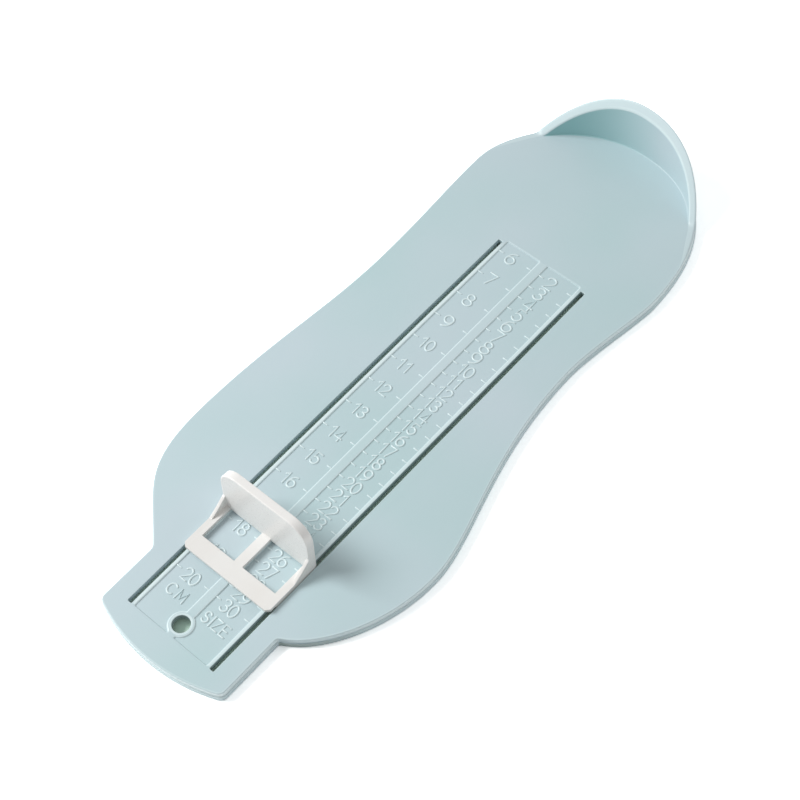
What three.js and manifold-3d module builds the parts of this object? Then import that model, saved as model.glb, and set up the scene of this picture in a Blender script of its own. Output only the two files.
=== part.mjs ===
// A child's foot gauge: a sole-shaped board with a heel cup, and a toe slider that runs in two slots.
//
// All sizes are in millimetres. While the pieces are made, x runs across the sole from the line
// midway between the slots, y runs from the zero of the centimetre scale at the heel towards the
// toes, and z rises from the table. The finished gauge is then turned half a turn and centred, so
// that it stands on z = 0 with its heel towards +Y and its scale reads upright from -Y.

import * as THREE from 'three';
import { mergeVertices } from 'three/addons/utils/BufferGeometryUtils.js';
import Module from 'manifold-3d';

const wasm = await Module();
wasm.setup();

// Heel end of the sole.
const HEEL_Y = 0.9;
const HEEL_X = 3.8;
const OUTER_HEEL_ROUND = 21.3;
const ARCH_HEEL_ROUND = 29.3;

// Outer side of the sole: widest at the heel, narrowest at the waist, widest at the ball.
const OUTER_HEEL_X = 43.1;
const OUTER_HEEL_Y = 36.3;
const OUTER_WAIST_X = 41.1;
const OUTER_WAIST_Y = 86.1;
const OUTER_BALL_X = 45.7;
const OUTER_BALL_Y = 156.4;
const OUTER_NECK_Y = 200.7;
const OUTER_HEEL_PULL = 17.2;
const OUTER_INSTEP_PULL = 15;
const OUTER_WAIST_PULL = 20.5;
const OUTER_SHANK_PULL = 24;
const OUTER_BALL_PULL = 29.3;
const OUTER_TOE_PULL = 27.6;
const OUTER_NECK_PULL = 21.5;
const OUTER_NECK_ANGLE = 44.7;

// Arch side of the sole.
const ARCH_HEEL_X = 34.7;
const ARCH_HEEL_Y = 47.1;
const ARCH_WAIST_X = 30.5;
const ARCH_WAIST_Y = 81.5;
const ARCH_BALL_X = 44.2;
const ARCH_BALL_Y = 157;
const ARCH_NECK_Y = 198.6;
const ARCH_HEEL_PULL = 25.3;
const ARCH_INSTEP_PULL = 5.3;
const ARCH_WAIST_PULL = 9.2;
const ARCH_SHANK_PULL = 37.2;
const ARCH_BALL_PULL = 16.5;
const ARCH_TOE_PULL = 18.9;
const ARCH_NECK_PULL = 12.2;
const ARCH_NECK_ANGLE = 27.5;

// Handle beyond the toes, with a shallow arc for its end.
const HANDLE_HALF_WIDTH = 23.3;
const HANDLE_END_X = 1.1;
const HANDLE_LENGTH = 24.7;
const HANDLE_END_Y = OUTER_NECK_Y + HANDLE_LENGTH;
const HANDLE_END_RADIUS = 59.5;
const HANDLE_CORNER = 1.6;
const NECK_FILLET = 1;

// Board: a plate with a skirt round its edge, hollow underneath.
const BOARD_HEIGHT = 4;
const PLATE_THICKNESS = 2;
const SKIRT_WALL = 1.8;
const LOWER_BAND_HEIGHT = 2.2;
const LEDGE = 0.25;
const EDGE_ROUND = 0.3;

// Heel cup: a wall along the board's edge whose lip lies in one sloping plane.
const CUP_TIP_Y = 16.3;
const CUP_RISE = 20;
const CUP_WALL = 2.2;

// Scale panel, sunk between the slots.
const PANEL_HALF_WIDTH = 14.2;
const PANEL_START_Y = 56;
const PANEL_END_MARGIN = 8.9;
const PANEL_END_Y = HANDLE_END_Y - PANEL_END_MARGIN;
const PANEL_DEPTH = 0.4;
const MIDDLE_BAR_WIDTH = 3;
const HOLE_SETBACK = 4.2;
const HOLE_Y = PANEL_END_Y - HOLE_SETBACK;
const HOLE_RADIUS = 2.7;
const HOLE_BOSS_WALL = 1.25;

// Scale marks, raised from the panel.
const FIRST_READING = 60;
const LAST_READING = 200;
const CENTIMETRE_STEP = 10;
const SIZE_STEP = 5;
const TICK_LENGTH = 2;
const BAR_TICK_LENGTH = 1.6;
const TICK_WIDTH = 0.45;
const TICK_RISE = 0.22;

// Slots that the slider runs in.
const SLOT_OUTER_X = 16.85;
const SLOT_WIDTH = 1.55;
const SLOT_START_INSET = 1;
const SLOT_START_Y = PANEL_START_Y + SLOT_START_INSET;
const SLOT_END_OVERRUN = 0.2;
const SLOT_END_Y = PANEL_END_Y + SLOT_END_OVERRUN;

// Slider, standing at the reading that the toe face touches.
const READING = 175.5;
const SLIDER_GAP = 0.3;
const SLIDER_SIDE_CLEARANCE = 0.2;
const FRAME_THICKNESS = 1.2;
const FRAME_LENGTH = 19.6;
const FRAME_CORNER_CUT = 1.1;
const CROSSBAR_WIDTH = 5.5;
const SIDE_RAIL_WIDTH = 2.4;
const DIVIDER_WIDTH = 3.2;
const TOE_WALL_HEIGHT = 18.6;
const TOE_WALL_THICKNESS = 2.7;
const TOE_WALL_CORNER = 6.6;
const TOE_WALL_ROUND = 0.9;
const TOE_WALL_LEAN = 4;
const GUSSET_HEIGHT = 4.6;
const GUSSET_LENGTH = 6.4;
const GUSSET_THICKNESS = 1;
const GUSSET_HOLLOW = 0.42;
const LEG_SETBACK = 0.4;
const LEG_LENGTH = 16;
const LEG_THICKNESS = 1;
const HOOK_LENGTH = 4;
const HOOK_REACH = 0.5;
const HOOK_HEIGHT = 1.2;
const HOOK_TIP_HEIGHT = 0.4;

const CURVE_STEPS = 14;
const ROUND_STEPS = 2;
const HOLE_SIDES = 32;
// How far a cutting body runs past the faces that it cuts.
const OVERSHOOT = 5;
// How far a raised mark is rooted in the face that it stands on.
const ROOT = 0.3;

// Turns a closed three.js geometry into a solid that can be joined and cut.
function solid(geometry) {
  geometry.deleteAttribute('normal');
  geometry.deleteAttribute('uv');
  const merged = mergeVertices(geometry);
  return new wasm.Manifold(new wasm.Mesh({
    numProp: 3,
    vertProperties: new Float32Array(merged.attributes.position.array),
    triVerts: new Uint32Array(merged.index.array),
  }));
}

// Turns a joined solid back into a named mesh.
function mesh(name, body, material) {
  const result = body.getMesh();
  const geometry = new THREE.BufferGeometry();
  geometry.setAttribute('position', new THREE.BufferAttribute(result.vertProperties, 3));
  geometry.setIndex(new THREE.BufferAttribute(result.triVerts, 1));
  geometry.computeVertexNormals();
  const piece = new THREE.Mesh(geometry, material);
  piece.name = name;
  return piece;
}

function join(bodies) {
  return bodies.reduce((whole, body) => whole.add(body));
}

// A box between two opposite corners.
function box(x0, x1, y0, y1, z0, z1) {
  const geometry = new THREE.BoxGeometry(x1 - x0, y1 - y0, z1 - z0);
  geometry.translate((x0 + x1) / 2, (y0 + y1) / 2, (z0 + z1) / 2);
  return solid(geometry);
}

// An upright prism over a closed outline in the x-y plane.
function prism(points, z0, z1) {
  const geometry = new THREE.ExtrudeGeometry(new THREE.Shape(points), {
    depth: z1 - z0, bevelEnabled: false,
  });
  geometry.translate(0, 0, z0);
  return solid(geometry);
}

// The same prism with its upper and lower edges rounded.
function roundedPrism(points, z0, z1, radius) {
  const geometry = new THREE.ExtrudeGeometry(new THREE.Shape(points), {
    depth: z1 - z0 - 2 * radius,
    bevelEnabled: true,
    bevelThickness: radius,
    bevelSize: radius,
    bevelOffset: -radius,
    bevelSegments: ROUND_STEPS,
  });
  geometry.translate(0, 0, z0 + radius);
  return solid(geometry);
}

// A bar along x over an outline whose points are (y, z) pairs.
function barAcross(profile, x0, x1) {
  const geometry = new THREE.ExtrudeGeometry(new THREE.Shape(profile), {
    depth: x1 - x0, bevelEnabled: false,
  });
  geometry.rotateX(Math.PI / 2);
  geometry.rotateZ(Math.PI / 2);
  geometry.translate(x0, 0, 0);
  return solid(geometry);
}

function cylinder(x, y, radius, z0, z1) {
  const geometry = new THREE.CylinderGeometry(radius, radius, z1 - z0, HOLE_SIDES);
  geometry.rotateX(Math.PI / 2);
  geometry.translate(x, y, (z0 + z1) / 2);
  return solid(geometry);
}

// Moves a counter-clockwise outline outwards by a distance, or inwards by a negative one.
function offsetOutline(points, distance) {
  const normal = (from, to) => new THREE.Vector2(to.y - from.y, from.x - to.x).normalize();
  return points.map((point, i) => {
    const before = normal(points[(i + points.length - 1) % points.length], point);
    const after = normal(point, points[(i + 1) % points.length]);
    const mitre = before.add(after).normalize();
    return point.clone().addScaledVector(mitre, distance / mitre.dot(after));
  });
}

// How far out the handle's end arc lies at a place across the handle.
function handleEndAt(x) {
  const centreY = HANDLE_END_Y - HANDLE_END_RADIUS;
  return centreY + Math.sqrt(HANDLE_END_RADIUS ** 2 - (x - HANDLE_END_X) ** 2);
}

// The sole and its handle, counter-clockwise from the heel, along the outer side first.
function soleOutline() {
  const outerAngle = THREE.MathUtils.degToRad(OUTER_NECK_ANGLE);
  const archAngle = THREE.MathUtils.degToRad(ARCH_NECK_ANGLE);
  const cornerX = HANDLE_HALF_WIDTH - HANDLE_CORNER;
  const outerCornerY = handleEndAt(HANDLE_HALF_WIDTH);
  const archCornerY = handleEndAt(-HANDLE_HALF_WIDTH);
  const outerNeckX = HANDLE_HALF_WIDTH + NECK_FILLET * Math.cos(outerAngle);
  const outerNeckY = OUTER_NECK_Y - NECK_FILLET * Math.sin(outerAngle);
  const archNeckX = HANDLE_HALF_WIDTH + NECK_FILLET * Math.cos(archAngle);
  const archNeckY = ARCH_NECK_Y - NECK_FILLET * Math.sin(archAngle);

  const outline = new THREE.Shape();
  outline.moveTo(HEEL_X, HEEL_Y);
  outline.bezierCurveTo(
    HEEL_X + OUTER_HEEL_ROUND, HEEL_Y,
    OUTER_HEEL_X, OUTER_HEEL_Y - OUTER_HEEL_PULL, OUTER_HEEL_X, OUTER_HEEL_Y);
  outline.bezierCurveTo(
    OUTER_HEEL_X, OUTER_HEEL_Y + OUTER_INSTEP_PULL,
    OUTER_WAIST_X, OUTER_WAIST_Y - OUTER_WAIST_PULL, OUTER_WAIST_X, OUTER_WAIST_Y);
  outline.bezierCurveTo(
    OUTER_WAIST_X, OUTER_WAIST_Y + OUTER_SHANK_PULL,
    OUTER_BALL_X, OUTER_BALL_Y - OUTER_BALL_PULL, OUTER_BALL_X, OUTER_BALL_Y);
  outline.bezierCurveTo(
    OUTER_BALL_X, OUTER_BALL_Y + OUTER_TOE_PULL,
    HANDLE_HALF_WIDTH + OUTER_NECK_PULL * Math.cos(outerAngle),
    OUTER_NECK_Y - OUTER_NECK_PULL * Math.sin(outerAngle), outerNeckX, outerNeckY);
  outline.quadraticCurveTo(
    HANDLE_HALF_WIDTH, OUTER_NECK_Y, HANDLE_HALF_WIDTH, OUTER_NECK_Y + NECK_FILLET);
  outline.lineTo(HANDLE_HALF_WIDTH, outerCornerY - HANDLE_CORNER);
  outline.quadraticCurveTo(HANDLE_HALF_WIDTH, outerCornerY, cornerX, handleEndAt(cornerX));
  outline.absarc(
    HANDLE_END_X, HANDLE_END_Y - HANDLE_END_RADIUS, HANDLE_END_RADIUS,
    Math.acos((cornerX - HANDLE_END_X) / HANDLE_END_RADIUS),
    Math.acos((-cornerX - HANDLE_END_X) / HANDLE_END_RADIUS), false);
  outline.quadraticCurveTo(
    -HANDLE_HALF_WIDTH, archCornerY, -HANDLE_HALF_WIDTH, archCornerY - HANDLE_CORNER);
  outline.lineTo(-HANDLE_HALF_WIDTH, ARCH_NECK_Y + NECK_FILLET);
  outline.quadraticCurveTo(-HANDLE_HALF_WIDTH, ARCH_NECK_Y, -archNeckX, archNeckY);
  outline.bezierCurveTo(
    -HANDLE_HALF_WIDTH - ARCH_NECK_PULL * Math.cos(archAngle),
    ARCH_NECK_Y - ARCH_NECK_PULL * Math.sin(archAngle),
    -ARCH_BALL_X, ARCH_BALL_Y + ARCH_TOE_PULL, -ARCH_BALL_X, ARCH_BALL_Y);
  outline.bezierCurveTo(
    -ARCH_BALL_X, ARCH_BALL_Y - ARCH_BALL_PULL,
    -ARCH_WAIST_X, ARCH_WAIST_Y + ARCH_SHANK_PULL, -ARCH_WAIST_X, ARCH_WAIST_Y);
  outline.bezierCurveTo(
    -ARCH_WAIST_X, ARCH_WAIST_Y - ARCH_WAIST_PULL,
    -ARCH_HEEL_X, ARCH_HEEL_Y + ARCH_INSTEP_PULL, -ARCH_HEEL_X, ARCH_HEEL_Y);
  outline.bezierCurveTo(
    -ARCH_HEEL_X, ARCH_HEEL_Y - ARCH_HEEL_PULL,
    HEEL_X - ARCH_HEEL_ROUND, HEEL_Y, HEEL_X, HEEL_Y);

  // The last point of the closed outline repeats its first.
  return outline.getPoints(CURVE_STEPS).slice(0, -1);
}

// The wall that holds the heel, cut off by the sloping plane of its lip.
function heelCup(outline) {
  const slope = CUP_RISE / (CUP_TIP_Y - HEEL_Y);
  const backY = HEEL_Y - OVERSHOOT;
  const topZ = BOARD_HEIGHT + CUP_RISE + OVERSHOOT * slope;
  const rootZ = BOARD_HEIGHT - PLATE_THICKNESS / 2;
  const wedge = barAcross([
    new THREE.Vector2(backY, rootZ),
    new THREE.Vector2(CUP_TIP_Y, rootZ),
    new THREE.Vector2(CUP_TIP_Y, BOARD_HEIGHT),
    new THREE.Vector2(backY, topZ),
  ], -ARCH_HEEL_X - OVERSHOOT, OUTER_HEEL_X + OVERSHOOT);
  // The heel's own outline, closed straight across well in front of the wall's tips.
  const heel = outline.filter((point) => point.y < ARCH_HEEL_Y);
  const wall = prism(heel, rootZ, topZ).subtract(
    prism(offsetOutline(heel, -CUP_WALL), rootZ - OVERSHOOT, topZ + OVERSHOOT));
  return wall.intersect(wedge);
}

// One row of raised ticks from x0 to x1 on the panel.
function tickRow(x0, x1, step) {
  const floorZ = BOARD_HEIGHT - PANEL_DEPTH;
  const ticks = [];
  for (let reading = FIRST_READING; reading <= LAST_READING; reading += step) {
    ticks.push(box(
      Math.min(x0, x1), Math.max(x0, x1),
      reading - TICK_WIDTH / 2, reading + TICK_WIDTH / 2, floorZ - ROOT, floorZ + TICK_RISE));
  }
  return join(ticks);
}

function soleBoard() {
  const outline = soleOutline();
  const hollowTop = BOARD_HEIGHT - PLATE_THICKNESS;
  const floorZ = BOARD_HEIGHT - PANEL_DEPTH;
  const barEdge = MIDDLE_BAR_WIDTH / 2;
  const bossRadius = HOLE_RADIUS + HOLE_BOSS_WALL;

  // The upper band's lower rounding lies inside the lower band.
  const upperBand = roundedPrism(
    outline, LOWER_BAND_HEIGHT - 2 * EDGE_ROUND, BOARD_HEIGHT, EDGE_ROUND);
  const lowerBand = prism(offsetOutline(outline, LEDGE), 0, LOWER_BAND_HEIGHT);
  const hollow = prism(offsetOutline(outline, -SKIRT_WALL), -OVERSHOOT, hollowTop);
  const panel = box(
    -PANEL_HALF_WIDTH, PANEL_HALF_WIDTH, PANEL_START_Y, PANEL_END_Y, floorZ,
    BOARD_HEIGHT + OVERSHOOT);

  const bar = box(-barEdge, barEdge, PANEL_START_Y - ROOT, HOLE_Y, floorZ - ROOT, BOARD_HEIGHT);
  const boss = cylinder(0, HOLE_Y, bossRadius, floorZ - ROOT, BOARD_HEIGHT);
  const marks = [
    tickRow(PANEL_HALF_WIDTH + ROOT, PANEL_HALF_WIDTH - TICK_LENGTH, CENTIMETRE_STEP),
    tickRow(barEdge - ROOT, barEdge + BAR_TICK_LENGTH, CENTIMETRE_STEP),
    tickRow(-barEdge + ROOT, -barEdge - BAR_TICK_LENGTH, SIZE_STEP),
    tickRow(-PANEL_HALF_WIDTH - ROOT, -PANEL_HALF_WIDTH + TICK_LENGTH, SIZE_STEP),
  ];

  const hole = cylinder(0, HOLE_Y, HOLE_RADIUS, -OVERSHOOT, BOARD_HEIGHT + OVERSHOOT);
  const slots = [1, -1].map((side) => {
    const outer = side * SLOT_OUTER_X;
    const inner = side * (SLOT_OUTER_X - SLOT_WIDTH);
    return box(
      Math.min(outer, inner), Math.max(outer, inner), SLOT_START_Y, SLOT_END_Y,
      -OVERSHOOT, BOARD_HEIGHT + OVERSHOOT);
  });

  const shell = join([upperBand, lowerBand]).subtract(hollow).subtract(panel);
  const dressed = join([shell, heelCup(outline), bar, boss, ...marks]);
  return dressed.subtract(join([hole, ...slots]));
}

// The upright wall that the toes touch, leaning slightly towards the heel.
function toeWall(halfWidth, baseZ) {
  const straight = halfWidth - TOE_WALL_CORNER;
  const shoulder = TOE_WALL_HEIGHT - TOE_WALL_CORNER;
  const face = new THREE.Shape();
  face.moveTo(-halfWidth, 0);
  face.lineTo(halfWidth, 0);
  face.lineTo(halfWidth, shoulder);
  face.absarc(straight, shoulder, TOE_WALL_CORNER, 0, Math.PI / 2, false);
  face.lineTo(-straight, TOE_WALL_HEIGHT);
  face.absarc(-straight, shoulder, TOE_WALL_CORNER, Math.PI / 2, Math.PI, false);
  face.lineTo(-halfWidth, 0);
  const points = face.getPoints(CURVE_STEPS).slice(0, -1);
  // The slab lies flat: it is stood up behind the toe face, then leaned and moved to its place.
  const wall = roundedPrism(points, -TOE_WALL_THICKNESS, 0, TOE_WALL_ROUND)
    .rotate([90, 0, 0])
    .rotate([TOE_WALL_LEAN, 0, 0])
    .translate([0, READING, baseZ]);
  // The lean tips the wall's foot, so it is cut level with the frame's underside.
  const below = box(
    -halfWidth - OVERSHOOT, halfWidth + OVERSHOOT, READING - OVERSHOOT,
    READING + FRAME_LENGTH, baseZ - OVERSHOOT, baseZ);
  return wall.subtract(below);
}

// One side's gusset, leg and hooks.
function sliderSide(side, halfWidth, baseZ) {
  const across = (inner, outer) => [
    Math.min(side * inner, side * outer), Math.max(side * inner, side * outer)];
  const frameTop = baseZ + FRAME_THICKNESS;
  const wallBack = READING + TOE_WALL_THICKNESS;

  const ramp = new THREE.Shape();
  ramp.moveTo(READING + TOE_WALL_THICKNESS / 2, frameTop - ROOT);
  ramp.lineTo(wallBack + GUSSET_LENGTH, frameTop - ROOT);
  ramp.lineTo(wallBack + GUSSET_LENGTH, frameTop);
  ramp.quadraticCurveTo(
    wallBack + GUSSET_LENGTH * GUSSET_HOLLOW, frameTop + GUSSET_HEIGHT * GUSSET_HOLLOW,
    wallBack, frameTop + GUSSET_HEIGHT);
  ramp.lineTo(READING + TOE_WALL_THICKNESS / 2, frameTop + GUSSET_HEIGHT);
  const gusset = barAcross(
    ramp.getPoints(CURVE_STEPS), ...across(halfWidth - GUSSET_THICKNESS, halfWidth));

  const plateUnderside = BOARD_HEIGHT - PLATE_THICKNESS;
  const hookTop = plateUnderside - SLIDER_GAP;
  const hookBottom = hookTop - HOOK_HEIGHT;
  const legStart = READING + LEG_SETBACK;
  const legEnd = legStart + LEG_LENGTH;
  const leg = box(
    ...across(halfWidth - LEG_THICKNESS, halfWidth), legStart, legEnd, hookBottom,
    baseZ + FRAME_THICKNESS / 2);

  // Each hook has a flat top under the plate and a slanted underside that lets it snap in.
  const hookOutline = [
    new THREE.Vector2(side * (halfWidth - ROOT), hookBottom),
    new THREE.Vector2(side * halfWidth, hookBottom),
    new THREE.Vector2(side * (halfWidth + HOOK_REACH), hookTop - HOOK_TIP_HEIGHT),
    new THREE.Vector2(side * (halfWidth + HOOK_REACH), hookTop),
    new THREE.Vector2(side * (halfWidth - ROOT), hookTop),
  ];
  const hooks = [legStart, legEnd - HOOK_LENGTH].map((startY) => {
    const geometry = new THREE.ExtrudeGeometry(new THREE.Shape(hookOutline), {
      depth: HOOK_LENGTH, bevelEnabled: false,
    });
    geometry.rotateX(Math.PI / 2);
    geometry.translate(0, startY + HOOK_LENGTH, 0);
    return solid(geometry);
  });
  return join([gusset, leg, ...hooks]);
}

function toeSlider() {
  const halfWidth = SLOT_OUTER_X - SLIDER_SIDE_CLEARANCE;
  const baseZ = BOARD_HEIGHT + SLIDER_GAP;
  const frameTop = baseZ + FRAME_THICKNESS;
  const frameEnd = READING + FRAME_LENGTH;
  const plate = prism([
    new THREE.Vector2(-halfWidth, READING),
    new THREE.Vector2(halfWidth, READING),
    new THREE.Vector2(halfWidth, frameEnd - FRAME_CORNER_CUT),
    new THREE.Vector2(halfWidth - FRAME_CORNER_CUT, frameEnd),
    new THREE.Vector2(-halfWidth + FRAME_CORNER_CUT, frameEnd),
    new THREE.Vector2(-halfWidth, frameEnd - FRAME_CORNER_CUT),
  ], baseZ, frameTop);
  const windows = [1, -1].map((side) => {
    const inner = side * DIVIDER_WIDTH / 2;
    const outer = side * (halfWidth - SIDE_RAIL_WIDTH);
    return box(
      Math.min(inner, outer), Math.max(inner, outer), READING + TOE_WALL_THICKNESS,
      frameEnd - CROSSBAR_WIDTH, baseZ - OVERSHOOT, frameTop + OVERSHOOT);
  });
  const frame = plate.subtract(join(windows));
  return join([
    frame,
    toeWall(halfWidth, baseZ),
    sliderSide(1, halfWidth, baseZ),
    sliderSide(-1, halfWidth, baseZ),
  ]);
}

const boardPlastic = new THREE.MeshStandardMaterial({
  color: 0xbcd0d5, roughness: 0.45, metalness: 0,
});
const sliderPlastic = new THREE.MeshStandardMaterial({
  color: 0xf0ece8, roughness: 0.4, metalness: 0,
});

const gauge = new THREE.Group();
gauge.add(mesh('sole_board', soleBoard(), boardPlastic));
gauge.add(mesh('toe_slider', toeSlider(), sliderPlastic));
gauge.rotation.z = Math.PI;
gauge.position.set((OUTER_BALL_X - ARCH_BALL_X) / 2, (HEEL_Y + HANDLE_END_Y) / 2, 0);

const group = new THREE.Group();
group.add(gauge);

export default group;
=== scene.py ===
"""Dresses a child's foot gauge: its sole-shaped board, its raised scale and its toe slider.

Sizes are in millimetres, in the gauge's own axes. x runs across the sole from the line midway
between the slots, y runs from the zero of the centimetre scale at the heel towards the toes,
and z rises from the table. GaugeAxes takes a finished mesh from there to the row's frame.
"""

from __future__ import annotations

import logging
import math
from collections.abc import Callable, Iterable, Sequence
from dataclasses import dataclass
from enum import Enum

import bmesh
import bpy
from mathutils import Matrix, Vector

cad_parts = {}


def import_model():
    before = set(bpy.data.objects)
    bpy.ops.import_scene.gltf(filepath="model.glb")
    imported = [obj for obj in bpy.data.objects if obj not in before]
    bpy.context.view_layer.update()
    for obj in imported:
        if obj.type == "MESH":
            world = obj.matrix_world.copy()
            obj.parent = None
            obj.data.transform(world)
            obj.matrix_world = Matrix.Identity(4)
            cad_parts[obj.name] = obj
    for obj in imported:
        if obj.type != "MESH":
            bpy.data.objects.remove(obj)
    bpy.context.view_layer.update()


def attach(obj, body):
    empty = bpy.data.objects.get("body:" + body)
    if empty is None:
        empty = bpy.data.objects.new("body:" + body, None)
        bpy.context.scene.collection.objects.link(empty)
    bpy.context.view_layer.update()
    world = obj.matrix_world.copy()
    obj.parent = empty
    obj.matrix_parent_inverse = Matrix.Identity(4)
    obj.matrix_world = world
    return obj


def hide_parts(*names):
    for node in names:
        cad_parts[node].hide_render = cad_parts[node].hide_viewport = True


LOG = logging.getLogger("foot_gauge")
MM = 0.001
# The attribute "pale" holds painted light: painted highlight where positive, painted shade where
# negative. The attribute "hollow" holds painted shade on the heel cup's inner wall.
PAINTED_LIGHT = "pale"
CUP_SHADE = "hollow"

# Two places closer than this, in millimetres, count as the same.
NEAR = 0.01
# The steps of a rounded edge or corner, and of the fillet at the heel cup's foot.
ROUND_STEPS = 4
FILLET_STEPS = 5
# The steps over which a free curve's length is measured, and the fewest that it is drawn in.
MEASURE_STEPS = 24
FEWEST_STEPS = 5
# The colour Mix node's sockets by number: its factor, its two colours and its result.
MIX_FACTOR, MIX_FROM, MIX_TO, MIX_RESULT = 0, 6, 7, 2

Loop = list[Vector]


class Side(Enum):
    """The two long sides of the gauge, by the sign of x."""

    OUTER = 1
    ARCH = -1


class Body(Enum):
    """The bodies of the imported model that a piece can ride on."""

    BOARD = "board"
    SLIDER = "slider"


@dataclass(frozen=True)
class GaugeAxes:
    """Where the gauge's own axes lie in the row's frame."""

    centre_x: float = 0.75
    centre_y: float = 113.15

    def to_row(self) -> Matrix:
        """Works out the way from the gauge's axes to the row's frame.

        Returns:
            The matrix from the gauge's millimetres to the row's metres.
        """
        turn = Matrix.Rotation(math.pi, 4, "Z")
        shift = Matrix.Translation((self.centre_x, self.centre_y, 0.0))
        return Matrix.Scale(MM, 4) @ shift @ turn


def share_between(value: float, low: float, high: float) -> float:
    """Finds how far a value lies from low (0) to high (1), held within those ends."""
    return min(1.0, max(0.0, (value - low) / (high - low)))


def eased(share: float) -> float:
    """Eases a share from 0 to 1 in and out."""
    return share * share * (3 - 2 * share)


def place_object(name: str, data: bpy.types.ID) -> bpy.types.Object:
    """Makes an object of some data and puts it into the scene.

    Args:
        name: The object's name.
        data: Its mesh, curve, lamp or camera data.

    Returns:
        The new object.
    """
    item = bpy.data.objects.new(name, data)
    bpy.context.scene.collection.objects.link(item)
    return item


def linear_colour(hex_code: str) -> tuple[float, float, float, float]:
    """Turns an sRGB hex colour into the linear colour that a shader takes.

    Args:
        hex_code: Six hex digits, red first.

    Returns:
        Linear red, green and blue, and an alpha of one.
    """
    channels = [int(hex_code[i:i + 2], 16) / 255 for i in (0, 2, 4)]
    linear = [c / 12.92 if c <= 0.04045 else ((c + 0.055) / 1.055) ** 2.4 for c in channels]
    return (linear[0], linear[1], linear[2], 1.0)


def add_node(
    tree: bpy.types.NodeTree,
    kind: str,
    settings: dict[str | int, object] | None = None,
    links: dict[str | int, bpy.types.NodeSocket] | None = None,
) -> bpy.types.Node:
    """Adds one node with its settings and its incoming links.

    Args:
        tree: The node tree that gets the node.
        kind: The node type's own name.
        settings: Values by input name or number, or by property name.
        links: Output sockets by the input name or number that they feed.

    Returns:
        The new node.
    """
    node = tree.nodes.new(kind)
    for key, value in (settings or {}).items():
        if isinstance(key, int) or key in node.inputs:
            node.inputs[key].default_value = value
        else:
            setattr(node, key, value)
    for key, socket in (links or {}).items():
        tree.links.new(socket, node.inputs[key])
    return node


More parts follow.
